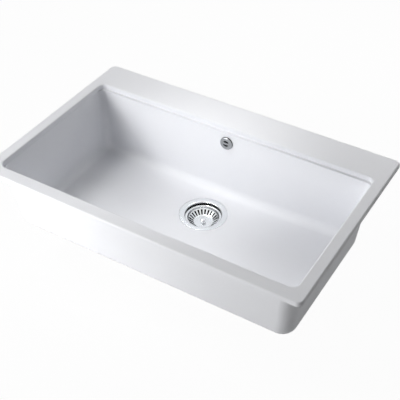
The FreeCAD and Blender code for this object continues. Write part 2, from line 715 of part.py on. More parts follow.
def nut_over_seal():
    """Nut set so that its lip bears on the seal."""
    nut = hose_nut()
    nut.translate(V(0, 0, NUT_LENGTH - NUT_LIP - CONE_SEAL))
    return nut


def cone_seal():
    """Rubber ring between the stub's mouth and the nut's lip, round the hose cuff."""
    return ring(ELBOW_R, HOSE_CUFF_R, -CONE_SEAL, 0)


def at_elbow(shape):
    """Moves a piece on the Z axis to the mouth of the elbow's leg."""
    shape.translate(V(0, HOSE_Y, OVERFLOW_Z - ELBOW_LEG))
    return shape


def at_inlet(shape):
    """Turns a piece on the Z axis to the mouth of the housing's inlet."""
    shape.rotate(V(), V(1, 0, 0), 90)
    shape.translate(V(0, DRAIN.y + INLET_REACH, INLET_Z))
    return shape


NODES = {
    "sink_body": sink_body,
    "rim_seal": seal_groove,
    "clip_anchors": clip_anchors,
    "waste_flange": waste_flange,
    "waste_top_gasket": waste_top_gasket,
    "waste_lower_gasket": waste_lower_gasket,
    "waste_housing": waste_housing,
    "waste_insert": waste_insert,
    "waste_screw": waste_screw,
    "strainer_basket": strainer_basket,
    "basket_stem": basket_stem,
    "stopper_seal": stopper_seal,
    "snap_ring": snap_ring,
    "basket_knob": basket_knob,
    "overflow_cap": overflow_cap,
    "overflow_spigot": overflow_spigot,
    "overflow_gasket": overflow_gasket,
    "overflow_elbow": overflow_elbow,
    "overflow_hose": overflow_hose,
    "upper_hose_nut": lambda: at_elbow(nut_over_seal()),
    "upper_hose_seal": lambda: at_elbow(cone_seal()),
    "lower_hose_nut": lambda: at_inlet(nut_over_seal()),
    "lower_hose_seal": lambda: at_inlet(cone_seal()),
}


for name, make in NODES.items():
    make().exportStep("parts/" + name + ".step")
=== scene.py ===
# %% [markdown]
# # A white composite kitchen sink
#
# The object is an inset kitchen sink: one long bowl and a tap deck moulded in one piece from
# quartz grains and resin, with a pressed steel waste in the floor and an overflow in the back wall.
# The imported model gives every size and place. This script gives the pieces their finish, and makes
# again, as smooth meshes, the pieces that a person looks at closely.

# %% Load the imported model
import math

import bmesh
import bpy
from mathutils import Matrix, Vector


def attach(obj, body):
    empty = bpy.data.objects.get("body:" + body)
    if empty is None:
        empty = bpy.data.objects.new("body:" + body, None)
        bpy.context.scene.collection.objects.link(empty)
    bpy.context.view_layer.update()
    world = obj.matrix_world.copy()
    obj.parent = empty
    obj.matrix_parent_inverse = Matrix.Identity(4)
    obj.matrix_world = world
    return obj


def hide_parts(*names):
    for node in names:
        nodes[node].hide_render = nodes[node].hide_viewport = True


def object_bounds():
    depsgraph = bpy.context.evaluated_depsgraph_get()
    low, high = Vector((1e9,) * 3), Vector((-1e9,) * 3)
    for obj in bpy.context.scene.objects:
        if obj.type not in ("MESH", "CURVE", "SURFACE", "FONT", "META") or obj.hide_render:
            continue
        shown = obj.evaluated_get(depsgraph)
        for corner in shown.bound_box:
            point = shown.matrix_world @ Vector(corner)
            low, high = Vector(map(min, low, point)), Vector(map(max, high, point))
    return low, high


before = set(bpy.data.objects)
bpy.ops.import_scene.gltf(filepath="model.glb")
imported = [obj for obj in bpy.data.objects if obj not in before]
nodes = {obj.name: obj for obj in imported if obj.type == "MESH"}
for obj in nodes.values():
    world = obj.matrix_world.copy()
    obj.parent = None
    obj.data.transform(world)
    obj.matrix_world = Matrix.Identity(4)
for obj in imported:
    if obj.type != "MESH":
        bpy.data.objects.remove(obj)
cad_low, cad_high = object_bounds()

MM = 0.001
print("pieces:", len(nodes), "overall size in mm:", [round(s / MM) for s in cad_high - cad_low])

# %% [markdown]
# ## The camera
#
# The view comes from the front right, 1.9 metres away and about forty degrees above the rim,
# through a long lens, so that the far rim is only slightly shorter than the near one. The place
# and the angles were worked out from the flange's edges, whose real sizes are known.

# %% The camera
CAMERA_PLACE = Vector((790.2, -1264.1, 1180.0)) * MM
TILT, ROLL, TURN = 49.540, 0.069, 31.274
SENSOR_WIDTH = 36.0
FOCAL_LENGTH = 77.64

lens = bpy.data.cameras.new("camera")
lens.sensor_width = SENSOR_WIDTH
lens.lens = FOCAL_LENGTH
camera = bpy.data.objects.new("camera", lens)
camera.location = CAMERA_PLACE
camera.rotation_euler = [math.radians(angle) for angle in (TILT, ROLL, TURN)]
bpy.context.scene.collection.objects.link(camera)
bpy.context.scene.camera = camera
bpy.context.scene.view_settings.view_transform = "Standard"

# %% [markdown]
# ## Colours and nodes
#
# Colours are written as sRGB hex values, as a paint chart gives them, and turned to the linear
# values that the renderer works in. One small function adds a shader node, sets it up and links it.

# %% Colour and node helpers
def colour(hex_code):
    """Linear RGBA of an sRGB hex code, by the sRGB standard's own curve."""
    channels = [int(hex_code[i:i + 2], 16) / 255 for i in (1, 3, 5)]
    linear = [c / 12.92 if c <= 0.04045 else ((c + 0.055) / 1.055) ** 2.4 for c in channels]
    return (*linear, 1.0)


def add(tree, kind, inputs=None, **settings):
    """Adds a node with its settings. Its inputs get values, or links from other nodes' outputs."""
    node = tree.nodes.new(kind)
    for name, value in settings.items():
        setattr(node, name, value)
    for name, value in (inputs or {}).items():
        if isinstance(value, bpy.types.NodeSocket):
            tree.links.new(value, node.inputs[name])
        else:
            node.inputs[name].default_value = value
    return node


def new_material(name):
    """A material with only its output node: the material, its tree and the output."""
    material = bpy.data.materials.new(name)
    material.use_nodes = True
    tree = material.node_tree
    tree.nodes.clear()
    return material, tree, add(tree, "ShaderNodeOutputMaterial")


# %% [markdown]
# ## The light
#
# The sink stands in soft studio light. Most of it comes from the left: a low box at the front left,
# one high on the left and one behind on the left. They make the front and the back wall bright and
# leave the left wall of the bowl and the right end in shade. Two weaker boxes behind the sink
# light the inside of the front wall, and a small one on the right, lower than the rim, lifts the
# right end without reaching the bowl. Each box is an area lamp that faces the bowl.

# %% Soft boxes
TARGET = Vector((0, 0, -60)) * MM
SOFT_BOXES = {  # place and side in metres, power in watts
    "low_front_left": ((-1.1, -2.0, 0.6), 0.8, 32.2),
    "high_left": ((-1.6, -0.6, 2.2), 0.8, 20.0),
    "left_behind": ((-1.0, 2.0, 1.6), 0.8, 16.1),
    "high_behind": ((0.0, 1.5, 2.4), 0.8, 5.6),
    "low_behind": ((0.3, 1.2, 0.5), 0.5, 2.9),
    "right_below_rim": ((1.9, 0.9, -0.1), 0.3, 3.6),
}


def aim(lamp, name, place, target):
    """Sets a lamp in the room, facing its target."""
    holder = bpy.data.objects.new(name, lamp)
    holder.location = place
    way = Vector(target) - Vector(place)
    holder.rotation_euler = way.to_track_quat("-Z", "Y").to_euler()
    bpy.context.scene.collection.objects.link(holder)


for name, (place, side, power) in SOFT_BOXES.items():
    box = bpy.data.lights.new(name, "AREA")
    box.shape = "SQUARE"
    box.size = side
    box.energy = power
    aim(box, name, place, TARGET)
print("soft boxes:", len(SOFT_BOXES))

# %% [markdown]
# Two wide-blended spots give the bright middle that the photo shows on the bowl's floor and on the
# left of the front wall. A spot with a blend of one has no edge: its light fades from the middle of
# the cone to the rim, and a large soft size keeps its shadows soft.

# %% Soft spots
SPOT_RADIUS = 0.2
SOFT_SPOTS = {  # place and target in metres, cone in degrees, power in watts
    "bowl_spot": ((-0.4, -0.2, 2.0), (0.0, 0.04, -0.17), 11.5, 133.0),
    "front_spot": ((-1.2, -1.8, 0.8), (-0.25, -0.22, -0.10), 16, 86.2),
}
for name, (place, target, cone, power) in SOFT_SPOTS.items():
    spot = bpy.data.lights.new(name, "SPOT")
    spot.energy = power
    spot.spot_size = math.radians(cone)
    spot.spot_blend = 1.0
    spot.shadow_soft_size = SPOT_RADIUS
    aim(spot, name, place, target)
print("soft spots:", len(SOFT_SPOTS))

# %% [markdown]
# ## The room
#
# The room sends out no light of its own, so the lamps alone shape the walls. The camera, the steel
# and the composite's sheen still have to see a white studio, and Light Path's Is Camera Ray and Is
# Glossy Ray do that: the world is white for those rays and black for the rest. The floor glows for
# the camera, but only in part, so that it keeps the sink's shadow.

# %% White studio for camera rays and glossy rays
world = bpy.data.worlds.new("studio")
bpy.context.scene.world = world
world.use_nodes = True
room = world.node_tree
room.nodes.clear()
ray = add(room, "ShaderNodeLightPath")
seen = add(room, "ShaderNodeMath",
           {0: ray.outputs["Is Camera Ray"], 1: ray.outputs["Is Glossy Ray"]}, operation="MAXIMUM")
sky = add(room, "ShaderNodeBackground",
          {"Color": colour("#ffffff"), "Strength": seen.outputs[0]})
add(room, "ShaderNodeOutputWorld", {"Surface": sky.outputs[0]})

# %% Paper floor
FLOOR_SIDE = 40
FLOOR_GLOW = 0.96

bpy.ops.mesh.primitive_plane_add(size=FLOOR_SIDE, location=(0, 0, cad_low.z))
floor = bpy.context.object
floor.name = "floor"
paper, tree, output = new_material("studio_paper")
matt = add(tree, "ShaderNodeBsdfDiffuse", {"Color": colour("#f4f4f4")})
glow = add(tree, "ShaderNodeEmission", {"Color": colour("#ffffff"), "Strength": 1.0})
ray = add(tree, "ShaderNodeLightPath")
share = add(tree, "ShaderNodeMath", {0: ray.outputs["Is Camera Ray"], 1: FLOOR_GLOW},
            operation="MULTIPLY")
both = add(tree, "ShaderNodeMixShader",
           {0: share.outputs[0], 1: matt.outputs[0], 2: glow.outputs[0]})
tree.links.new(both.outputs[0], output.inputs["Surface"])
floor.data.materials.append(paper)

# %% [markdown]
# ## Finish: cast quartz composite
#
# The sink is cast from quartz grains in acrylic resin. The surface is a satin white: highlights are
# broad and soft, and up close there is a very fine grain in its tone and its relief. One noise at
# the grain's size drives tone, roughness and bump together, and a slow cloud keeps the large walls
# from looking flat.

# %% White quartz composite
CLOUD_SIZE = 70
GRAIN_SIZE = 1.4
GRAIN_RELIEF = 0.03


def quartz_composite():
    """Cast quartz and resin: white, satin, with a fine grain. The eye sees soft wide highlights."""
    material, tree, output = new_material("white_quartz_composite")
    place = add(tree, "ShaderNodeTexCoord").outputs["Object"]
    cloud = add(tree, "ShaderNodeTexNoise",
                {"Vector": place, "Scale": 1 / (CLOUD_SIZE * MM), "Detail": 2.0})
    grain = add(tree, "ShaderNodeTexNoise",
                {"Vector": place, "Scale": 1 / (GRAIN_SIZE * MM), "Detail": 3.0, "Roughness": 0.6})
    tint = add(tree, "ShaderNodeMix",
               {"Factor": cloud.outputs["Fac"], "A": colour("#f3f4f8"), "B": colour("#f6f7fa")},
               data_type="RGBA")
    fleck = add(tree, "ShaderNodeMapRange",
                {"Value": grain.outputs["Fac"], "From Min": 0.3, "From Max": 0.7,
                 "To Min": 0.965, "To Max": 1.0})
    speckled = add(tree, "ShaderNodeVectorMath",
                   {0: tint.outputs["Result"], "Scale": fleck.outputs["Result"]},
                   operation="SCALE")
    rough = add(tree, "ShaderNodeMapRange",
                {"Value": grain.outputs["Fac"], "To Min": 0.40, "To Max": 0.52})
    relief = add(tree, "ShaderNodeBump",
                 {"Height": grain.outputs["Fac"], "Strength": 0.2, "Distance": GRAIN_RELIEF * MM})
    surface = add(tree, "ShaderNodeBsdfPrincipled", {
        "Base Color": speckled.outputs["Vector"], "Roughness": rough.outputs["Result"],
        "Normal": relief.outputs["Normal"], "IOR": 1.5})
    tree.links.new(surface.outputs[0], output.inputs["Surface"])
    return material


composite = quartz_composite()
print("finish:", composite.name)

# %% [markdown]
# ## Finish: turned and pressed metal
#
# The waste is pressed from stainless sheet and brushed while it turns, so its fine lines run round
# the drain. The pattern is a noise read at the distance from the drain's axis and the height, which
# makes rings. A Mapping node puts the middle of the rings on the drain. Polished steel has the same
# rings, so faint that only the highlight's edge shows them. The white studio would light the inside
# of the cup and the walls of the cap's slots from all sides, where a real room leaves them dark, so
# shade is painted into the steel: the cup turns dark below its mouth and the cap behind its face.

# %% Metals
DRAIN_PLACE = Vector((0, 48.5, 0)) * MM
OVERFLOW_PLACE = Vector((0, 154.3, -28.7)) * MM
# Painted shade: the axis, start and full dark of the darkening inside the cup and behind the cap's
# face.
CUP_PAINTED_SHADE = ("Z", -171 * MM, -174 * MM)
CAP_PAINTED_SHADE = ("Y", -2.8 * MM, -1.8 * MM)
UNLIT_STEEL = "#121315"
RING_RELIEF = 0.01
SMUDGE_SIZE = 14


def turned_metal(name, hex_code, smoothest, roughest, line_width, centre, depth=None):
    """Metal with fine rings about an upright axis: streaks of light follow the turn.

    Depth, if given, holds painted shade: an axis, the place on it where the metal starts to darken,
    and where it is dark.
    """
    material, tree, output = new_material(name)
    place = add(tree, "ShaderNodeTexCoord").outputs["Object"]
    centred = add(tree, "ShaderNodeMapping", {"Vector": place, "Location": -centre})
    parts = add(tree, "ShaderNodeSeparateXYZ", {0: centred.outputs[0]})
    flat = add(tree, "ShaderNodeCombineXYZ",
               {"X": parts.outputs["X"], "Y": parts.outputs["Y"]})
    distance = add(tree, "ShaderNodeVectorMath", {0: flat.outputs[0]}, operation="LENGTH")
    ring = add(tree, "ShaderNodeCombineXYZ",
               {"X": distance.outputs["Value"], "Y": parts.outputs["Z"]})
    lines = add(tree, "ShaderNodeTexNoise",
                {"Vector": ring.outputs[0], "Scale": 1 / (line_width * MM), "Detail": 2.0})
    smudge = add(tree, "ShaderNodeTexNoise",
                 {"Vector": place, "Scale": 1 / (SMUDGE_SIZE * MM), "Detail": 2.0})
    mixed = add(tree, "ShaderNodeMath",
                {0: lines.outputs["Fac"], 1: smudge.outputs["Fac"]}, operation="MULTIPLY")
    rough = add(tree, "ShaderNodeMapRange",
                {"Value": mixed.outputs[0], "From Min": 0.1, "From Max": 0.45,
                 "To Min": smoothest, "To Max": roughest})
    relief = add(tree, "ShaderNodeBump",
                 {"Height": lines.outputs["Fac"], "Strength": 0.12, "Distance": RING_RELIEF * MM})
    tone = colour(hex_code)
    # Painted shade: the tone darkens towards unlit steel along the depth axis.
    if depth:
        axis, bright_at, dark_at = depth
        shade = add(tree, "ShaderNodeMapRange",
                    {"Value": parts.outputs[axis], "From Min": bright_at, "From Max": dark_at})
        tone = add(tree, "ShaderNodeMix",
                   {"Factor": shade.outputs["Result"], "A": tone, "B": colour(UNLIT_STEEL)},
                   data_type="RGBA").outputs["Result"]
    surface = add(tree, "ShaderNodeBsdfPrincipled", {
        "Base Color": tone, "Metallic": 1.0, "Roughness": rough.outputs["Result"],
        "Normal": relief.outputs["Normal"]})
    tree.links.new(surface.outputs[0], output.inputs["Surface"])
    return material


# The cup's and the cap's steels carry painted shade in their depths.
satin_stainless = turned_metal(
    "satin_stainless_steel", "#e0e2e4", 0.16, 0.30, 0.5, DRAIN_PLACE)
cup_stainless = turned_metal(
    "cup_stainless_steel", "#dcdee0", 0.16, 0.30, 0.5, DRAIN_PLACE, CUP_PAINTED_SHADE)
polished_stainless = turned_metal(
    "polished_stainless_steel", "#d9dadc", 0.05, 0.12, 0.8, DRAIN_PLACE)
satin_cap_steel = turned_metal(
    "satin_cap_steel", "#b4b6b8", 0.24, 0.34, 0.8, OVERFLOW_PLACE, CAP_PAINTED_SHADE)
turned_brass = turned_metal("turned_brass", "#d2b060", 0.18, 0.34, 0.6, DRAIN_PLACE)
print("metals:", satin_stainless.name, cup_stainless.name, polished_stainless.name,
      satin_cap_steel.name, turned_brass.name)

# %% [markdown]
# ## Finish: moulded plastics and rubber
#
# The fittings are moulded: polypropylene for the housing, the elbow and the nuts, glass filled
# nylon for the clip anchors, blown polyethylene for the hose, and rubber for the seals. The spigot
# shows through the overflow cap's slots, which look black because no light reaches in, so its
# polypropylene is painted near black, as painted shade. The materials differ in colour, in how
# blurred their highlights are, and in how coarse the mould's texture is. One function makes them
# all from those facts.

# %% Plastics and rubber
TONE_SIZE = 18


def moulded(name, light_hex, dark_hex, texture_size, relief_height, smoothest, roughest):
    """Moulded plastic or rubber: a slow change of tone, and a fine texture in the gloss."""
    material, tree, output = new_material(name)
    place = add(tree, "ShaderNodeTexCoord").outputs["Object"]
    cloud = add(tree, "ShaderNodeTexNoise",
                {"Vector": place, "Scale": 1 / (TONE_SIZE * MM), "Detail": 3.0})
    texture = add(tree, "ShaderNodeTexNoise",
                  {"Vector": place, "Scale": 1 / (texture_size * MM), "Detail": 2.0})
    tint = add(tree, "ShaderNodeMix",
               {"Factor": cloud.outputs["Fac"], "A": colour(dark_hex), "B": colour(light_hex)},
               data_type="RGBA")
    rough = add(tree, "ShaderNodeMapRange",
                {"Value": texture.outputs["Fac"], "From Min": 0.3, "From Max": 0.7,
                 "To Min": smoothest, "To Max": roughest})
    relief = add(tree, "ShaderNodeBump",
                 {"Height": texture.outputs["Fac"], "Strength": 0.3,
                  "Distance": relief_height * MM})
    surface = add(tree, "ShaderNodeBsdfPrincipled", {
        "Base Color": tint.outputs["Result"], "Roughness": rough.outputs["Result"],
        "Normal": relief.outputs["Normal"], "IOR": 1.5})
    tree.links.new(surface.outputs[0], output.inputs["Surface"])
    return material


polypropylene = moulded(
    "white_moulded_polypropylene", "#eeeeea", "#e4e4df", 0.8, 0.04, 0.32, 0.48)
# Painted shade: the spigot is coloured near black because no light reaches it behind the cap's
# slots.
painted_shade_polypropylene = moulded(
    "spigot_painted_shade", "#111213", "#0a0a0b", 0.8, 0.04, 0.40, 0.55)
nylon = moulded("grey_glass_filled_nylon", "#9a9c9e", "#85878a", 0.5, 0.06, 0.45, 0.65)
polyethylene = moulded("pale_blown_polyethylene", "#dfe1e0", "#d0d3d2", 1.2, 0.05, 0.28, 0.40)
rubber = moulded("black_moulded_rubber", "#232323", "#161616", 0.4, 0.05, 0.50, 0.72)
print("plastics:", polypropylene.name, painted_shade_polypropylene.name, nylon.name, polyethylene.name,
      rubber.name)

# %% [markdown]
# ## Making a piece
#
# Each new piece is drawn in millimetres, because that is how its sizes are known, and brought to
# metres at the end. Its doubles are merged and its normals turned outwards before it becomes an
# object. The object stays at the origin: its place is in its mesh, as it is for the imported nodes.

# %% From bmesh to a piece
SAME_PLACE = 0.002
CREASE = 32


def place_piece(name, bm, body, finish, replaced, crease=CREASE):
    """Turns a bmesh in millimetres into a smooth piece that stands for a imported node."""
    bmesh.ops.remove_doubles(bm, verts=bm.verts, dist=SAME_PLACE)
    bmesh.ops.recalc_face_normals(bm, faces=bm.faces)
    bmesh.ops.scale(bm, vec=(MM, MM, MM), verts=bm.verts)
    mesh = bpy.data.meshes.new(name)
    bm.to_mesh(mesh)
    bm.free()
    mesh.materials.append(finish)
    piece = bpy.data.objects.new(name, mesh)
    bpy.context.scene.collection.objects.link(piece)
    smooth(piece, crease)
    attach(piece, body)
    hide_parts(replaced)
    print(name, "faces:", len(mesh.polygons))


def smooth(piece, crease):
    """Smooth shading, with sharp edges where two faces meet at more than the crease angle."""
    for face in piece.data.polygons:
        face.use_smooth = True
    split = piece.modifiers.new("edges", "EDGE_SPLIT")
    split.split_angle = math.radians(crease)
    piece.modifiers.new("normals", "WEIGHTED_NORMAL")


# %% A line of (radius, height) points
def bent_line(bm, points, bends):
    """Draws a line through the points and rounds each inner corner by its number in bends."""
    corners = [bm.verts.new((radius, 0, height)) for radius, height in points]
    for start, end in zip(corners, corners[1:]):
        bm.edges.new((start, end))
    for corner, cut in zip(corners[1:-1], bends):
        if cut:
            bmesh.ops.bevel(bm, geom=[corner], offset=cut, offset_type="OFFSET",
                            affect="VERTICES", segments=5, profile=0.5, material=-1)


def spin_round(bm, steps):
    """Turns all that is drawn once round the Z axis."""
    bmesh.ops.spin(bm, geom=bm.verts[:] + bm.edges[:], cent=(0, 0, 0), axis=(0, 0, 1),
                   angle=2 * math.pi, steps=steps, use_merge=True)
    bmesh.ops.remove_doubles(bm, verts=bm.verts, dist=SAME_PLACE)
    bmesh.ops.recalc_face_normals(bm, faces=bm.faces)


def verts_of(geometry):
    """The vertices among what an operator returns."""
    return [item for item in geometry if isinstance(item, bmesh.types.BMVert)]


# %% [markdown]
# ## The sink body
#
# The real body is one casting: a plug mould makes the inside and a cavity mould the outside. It is
# made here in the same way. One closed solid is the outside: the flange, the leaning tub under it
# and the pads and webs below. Another is all the room inside: the shallow pocket at the mouth, the
# leaning tub with its rounded foot, and the holes. Boolean modifiers take the room out of the
# casting. A flat ring of four vertices whose corners are bevelled gives each rounded outline, and
# two such rings bridged give a wall that leans, with a corner that widens on its way down.

# %% Rings and slabs of the casting
LEVEL = 0.02


def rounded_ring(bm, x0, x1, y0, y1, radius, height):
    """A level face with rounded corners."""
    corners = [bm.verts.new((x, y, height)) for x, y in ((x0, y0), (x1, y0), (x1, y1), (x0, y1))]
    bm.faces.new(corners)
    bmesh.ops.bevel(bm, geom=corners, offset=radius, offset_type="OFFSET", affect="VERTICES",
                    segments=12, profile=0.5, material=-1)
    return next(face for face in bm.faces
                if len(face.verts) > 4 and abs(face.calc_center_median().z - height) < LEVEL)


def leaning_slab(bm, top, bottom):
    """A closed solid between two rounded faces, each (x0, x1, y0, y1, radius, height)."""
    faces = [rounded_ring(bm, *top), rounded_ring(bm, *bottom)]
    edges = [edge for face in faces for edge in face.edges]
    bmesh.ops.bridge_loops(bm, edges=edges)
    return faces


def round_edges(bm, edges, radius, segments):
    """Rounds a loop of edges. Unless the faces point outwards first, it goes the wrong way."""
    bmesh.ops.recalc_face_normals(bm, faces=bm.faces)
    bmesh.ops.bevel(bm, geom=edges, offset=radius, offset_type="OFFSET", affect="EDGES",
                    segments=segments, profile=0.5, material=-1)


def level_edges(bm, height, reach_x=1000.0, reach_y=1000.0):
    """The edges that lie level at this height and no further out than this reach."""
    return [edge for edge in bm.edges
            if all(abs(v.co.z - height) < LEVEL and abs(v.co.x) < reach_x
                   and abs(v.co.y) < reach_y for v in edge.verts)]


def sharp(edge):
    """Whether two faces meet at this edge at an angle that a round should soften."""
    return edge.is_manifold and edge.calc_face_angle(0) > 0.5


def loose_solid(name, bm):
    """A helper object for the booleans."""
    bmesh.ops.recalc_face_normals(bm, faces=bm.faces)
    mesh = bpy.data.meshes.new(name)
    bm.to_mesh(mesh)
    bm.free()
    solid = bpy.data.objects.new(name, mesh)
    bpy.context.scene.collection.objects.link(solid)
    return solid


def combine(base, operation, others):
    """Adds or takes away the other solids, and removes them."""
    for other in others:
        step = base.modifiers.new("step", "BOOLEAN")
        step.operation = operation
        step.solver = "EXACT"
        step.object = other
    finished = base.evaluated_get(bpy.context.evaluated_depsgraph_get())
    shape = bpy.data.meshes.new_from_object(finished)
    base.modifiers.clear()
    base.data = shape
    for other in others:
        bpy.data.objects.remove(other)
    return base


# %% Flange and outer tub
FLANGE = (-390, 390, -250, 250, 14)
FLANGE_TOP = 10
LIP_ROUND = 4.5
TUB_FOOT = -177.5
TUB_FOOT_ROUND = 31
ROOT_ROUND = 7


def flange_solid():
    bm = bmesh.new()
    leaning_slab(bm, (*FLANGE, FLANGE_TOP), (*FLANGE, 0))
    round_edges(bm, level_edges(bm, FLANGE_TOP), LIP_ROUND, 5)
    return loose_solid("flange", bm)


def outer_tub():
    bm = bmesh.new()
    leaning_slab(bm, (-367, 367, -226, 167, 34, 1), (-350, 350, -197, 150, 34, TUB_FOOT))
    round_edges(bm, level_edges(bm, TUB_FOOT), TUB_FOOT_ROUND, 10)
    return loose_solid("outer_tub", bm)


casting = combine(flange_solid(), "UNION", [outer_tub()])
bm = bmesh.new()
bm.from_mesh(casting.data)
root = [edge for edge in level_edges(bm, 0, 368, 227) if sharp(edge)]
round_edges(bm, root, ROOT_ROUND, 5)
bm.to_mesh(casting.data)
bm.free()
print("casting with rounded root:", len(casting.data.polygons), "faces, root edges", len(root))

# %% [markdown]
# Under the flange there are eight pads that hold the plastic plugs for the worktop clips, six webs
# that carry the deck, a flat boss round the drain and another round the overflow. They are plain
# slabs and discs, and the union joins them to the casting. The numbers are their sides and places
# in the sink's own frame.

# %% Pads, webs and bosses
ANCHORS = [(x, y) for y in (-231, 231) for x in (-260, 0, 260)] + [(-372, 0), (372, 0)]
WEBS = (-300, -230, -80, 80, 230, 300)
WEB_OUTLINE = ((155, 1), (236, 1), (236, -3), (163, -28), (155, -28))
WEB_THICKNESS = 6
TAPS = [(x, 214) for x in (-160, 0, 160)]
AT_DRAIN = Matrix.Translation((0, 48.5, 0))
WALL_LEAN = math.radians(90 - 4.778)
ON_BACK_WALL = Matrix.Translation((0, 154.31, -28.7)) @ Matrix.Rotation(WALL_LEAN, 4, "X")


def round_bar(bm, radius, low, high, segments, place):
    """A closed cylinder along the Z axis of its place."""
    bar = bmesh.ops.create_cone(bm, cap_ends=True, segments=segments, radius1=radius,
                                radius2=radius, depth=high - low)
    middle = Matrix.Translation((0, 0, (low + high) / 2))
    bmesh.ops.transform(bm, matrix=place @ middle, verts=bar["verts"])


def anchor_pads():
    bm = bmesh.new()
    for x, y in ANCHORS:
        pad = bmesh.ops.create_cube(bm, size=1)["verts"]
        bmesh.ops.scale(bm, vec=(13, 13, 16), verts=pad)
        bmesh.ops.translate(bm, vec=(x, y, -7), verts=pad)
    upright = [edge for edge in bm.edges if abs(edge.verts[0].co.z - edge.verts[1].co.z) > 1]
    round_edges(bm, upright, 2, 3)
    return loose_solid("anchor_pads", bm)


def deck_webs():
    bm = bmesh.new()
    for x in WEBS:
        outline = [bm.verts.new((x - WEB_THICKNESS / 2, y, z)) for y, z in WEB_OUTLINE]
        side = bmesh.ops.extrude_face_region(bm, geom=[bm.faces.new(outline)])["geom"]
        bmesh.ops.translate(bm, vec=(WEB_THICKNESS, 0, 0), verts=verts_of(side))
    return loose_solid("deck_webs", bm)


def bosses():
    bm = bmesh.new()
    round_bar(bm, 62, -181.5, -176, 96, AT_DRAIN)
    round_bar(bm, 19, -12, -4, 64, ON_BACK_WALL)
    return loose_solid("bosses", bm)


combine(casting, "UNION", [anchor_pads(), deck_webs(), bosses()])
print("with pads, webs and bosses:", len(casting.data.polygons), "faces")

# %% [markdown]
# The room inside has two parts. The pocket at the mouth is upright. The tub below it leans in on
# all sides, and its floor is not flat: it rises away from the drain, a little to the front and the
# back and more to the sides, so that water runs off. The tub is cut into a grid by planes, and each
# vertex is then lifted by that rise, in full at the floor and less and less up the walls.

# %% Pocket and tub
FOOT_Z = -170
LEDGE_Z = -2.5
FOOT_ROUND = 21
GRID = 30
RISE_FADES_OVER = 140


def floor_rise(x, y):
    """How far the floor stands above the drain's edge, in millimetres."""
    return max(0.0, 10 * (x / 345) ** 2 + 3 * ((y - 48.5) / 238) ** 2 - 0.45)


def tub_room():
    bm = bmesh.new()
    mouth = leaning_slab(bm, (-361.5, 361.5, -210.5, 156.5, 16, LEDGE_Z),
                         (-345, 345, -188.5, 142.5, 28, FOOT_Z))[0]
    collar = bmesh.ops.extrude_face_region(bm, geom=[mouth])["geom"]
    bmesh.ops.translate(bm, vec=(0, 0, 7), verts=verts_of(collar))
    bmesh.ops.delete(bm, geom=[mouth], context="FACES_ONLY")
    round_edges(bm, level_edges(bm, FOOT_Z), FOOT_ROUND, 12)
    cuts = [((x, 0, 0), (1, 0, 0)) for x in range(-330, 331, GRID)]
    cuts += [((0, y, 0), (0, 1, 0)) for y in range(-165, 136, GRID)]
    for place, across in cuts:
        bmesh.ops.bisect_plane(bm, geom=bm.verts[:] + bm.edges[:] + bm.faces[:], plane_co=place,
                               plane_no=across, dist=0.01)
    for vert in bm.verts:
        share = min(1.0, max(0.0, (LEDGE_Z - vert.co.z) / RISE_FADES_OVER))
        vert.co.z += floor_rise(vert.co.x, vert.co.y) * share
    return loose_solid("tub_room", bm)


def mouth_pocket():
    bm = bmesh.new()
    leaning_slab(bm, (-362, 362, -218, 164, 16, 15), (-362, 362, -218, 164, 16, LEDGE_Z))
    return loose_solid("mouth_pocket", bm)


# %% Grooves and holes
def seal_groove():
    bm = bmesh.new()
    leaning_slab(bm, (-387, 387, -247, 247, 11, 2), (-387, 387, -247, 247, 11, -1))
    groove = loose_solid("seal_groove", bm)
    bm = bmesh.new()
    leaning_slab(bm, (-382, 382, -242, 242, 6, 3), (-382, 382, -242, 242, 6, -2))
    return combine(groove, "DIFFERENCE", [loose_solid("land", bm)])


def small_holes():
    bm = bmesh.new()
    for x, y in ANCHORS:
        round_bar(bm, 3.5, -16, -3, 24, Matrix.Translation((x, y, 0)))
    for x, y in TAPS:
        round_bar(bm, 17.5, -1, 7, 64, Matrix.Translation((x, y, 0)))
    round_bar(bm, 10, -40, 20, 48, ON_BACK_WALL)
    round_bar(bm, 45, -183, -171, 96, AT_DRAIN)
    return loose_solid("small_holes", bm)


def drain_seat():
    bm = bmesh.new()
    round_bar(bm, 58.2, -172.6, -165, 120, AT_DRAIN)
    return loose_solid("drain_seat", bm)


combine(casting, "DIFFERENCE",
        [mouth_pocket(), tub_room(), seal_groove(), small_holes(), drain_seat()])

# %% Round the mouth's edge and place the body
MOUTH_ROUND = 3.5

bm = bmesh.new()
bm.from_mesh(casting.data)
bpy.data.objects.remove(casting)
bmesh.ops.remove_doubles(bm, verts=bm.verts, dist=SAME_PLACE)
mouth_edge = [edge for edge in level_edges(bm, FLANGE_TOP, 362.5, 219)
              if sharp(edge) and edge.verts[0].co.y < 165]
round_edges(bm, mouth_edge, MOUTH_ROUND, 6)
place_piece("quartz_sink_body", bm, "sink", composite, "sink_body")
print("mouth edges rounded:", len(mouth_edge))

# %% [markdown]
# ## The waste flange
#
# On the real sink this is one deep pressing: a dished rim that shows round the drain, a rounded
# mouth, a step that the basket's rim sits on, and a cup with a spoked bottom. A pressing is a line
# turned about an axis and given a sheet's thickness, so the line is spun and then solidified. The
# spokes are thin plates let into the cup's bottom.

# %% Waste flange
DRAIN = Vector((0, 48.5, -170))
STEPS_ROUND = 120
CUP_LINE = [(57.5, -1.3), (57.5, 0.3), (46.6, -0.6), (43.4, -2.2), (43.4, -9), (41.4, -9),
            (40.8, -42), (21, -42)]
CUP_BENDS = [0.7, 1.9, 1.6, 0.6, 0.7, 3.5]
CUP_SHEET = 1.0
HUB_RADIUS = 9
SPOKE = (15, 5, 0.9)
SPOKE_PLACE = Vector((15, 0, -42.5))
HUB_PLACE = Vector((0, 0, -42.5))


